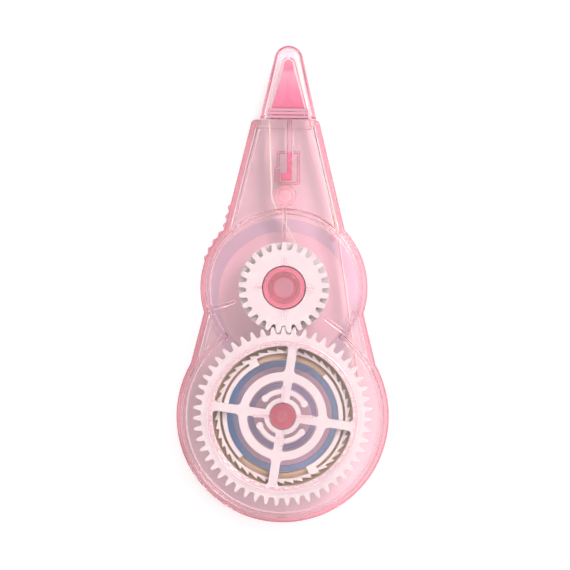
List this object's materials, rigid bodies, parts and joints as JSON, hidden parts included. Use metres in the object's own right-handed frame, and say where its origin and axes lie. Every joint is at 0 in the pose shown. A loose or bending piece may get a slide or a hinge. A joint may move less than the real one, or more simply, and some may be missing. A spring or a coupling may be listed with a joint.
{
  "type": "correction tape",
  "caption": "Pocket correction tape lying on its back: see-through pink case with geared supply and take-up reels, tape path, transfer head and pull-off cap.",
  "frame": {"origin": "on the flat back face, on the axis of the supply axle", "axes": "+X across the case, +Y from the supply roll towards the tip, +Z from the back face to the front face"},
  "size_m": [0.0376, 0.0847, 0.013],
  "materials": {
    "pink_shell": "clear gloss",
    "clear_shell": "clear gloss",
    "pink_cap": "clear gloss",
    "pink_head": "gloss",
    "white_gear": "satin",
    "white_clutch": "satin",
    "blue_reel": "gloss",
    "tape_edge": "matt",
    "pink_reel": "gloss",
    "carrier": "matt",
    "fresh_film": "matt"
  },
  "bodies": {
    "case": {"rear_case": "pink_shell", "front_case": "clear_shell", "head": "pink_head", "fresh_tape": "fresh_film", "spent_tape": "carrier"},
    "cap": {"cap": "pink_cap"},
    "drive": {"drive_gear": "white_gear"},
    "supply": {"supply_reel": "blue_reel", "tape_roll": "tape_edge", "ratchet_flange": "white_clutch"},
    "take_up": {"take_up_gear": "white_gear", "take_up_reel": "pink_reel", "spent_roll": "carrier"}
  },
  "joints": [
    {"name": "cap_slide", "type": "slide", "parent": "case", "child": "cap", "axis": [0, 1, 0], "range_m": [0, 0.016]},
    {"name": "drive_spin", "type": "hinge", "parent": "case", "child": "drive", "pos_m": [0, 0, 0.0099], "axis": [0, 0, 1], "continuous": true},
    {"name": "clutch_slip", "type": "hinge", "parent": "drive", "child": "supply", "pos_m": [0, 0, 0.0051], "axis": [0, 0, 1], "continuous": true},
    {"name": "take_up_spin", "type": "hinge", "parent": "case", "child": "take_up", "pos_m": [0, 0.0228, 0.0099], "axis": [0, 0, 1], "continuous": true}
  ],
  "couplings": [
    {"joint": "take_up_spin", "follows": "drive_spin", "ratio": -2.04}
  ]
}
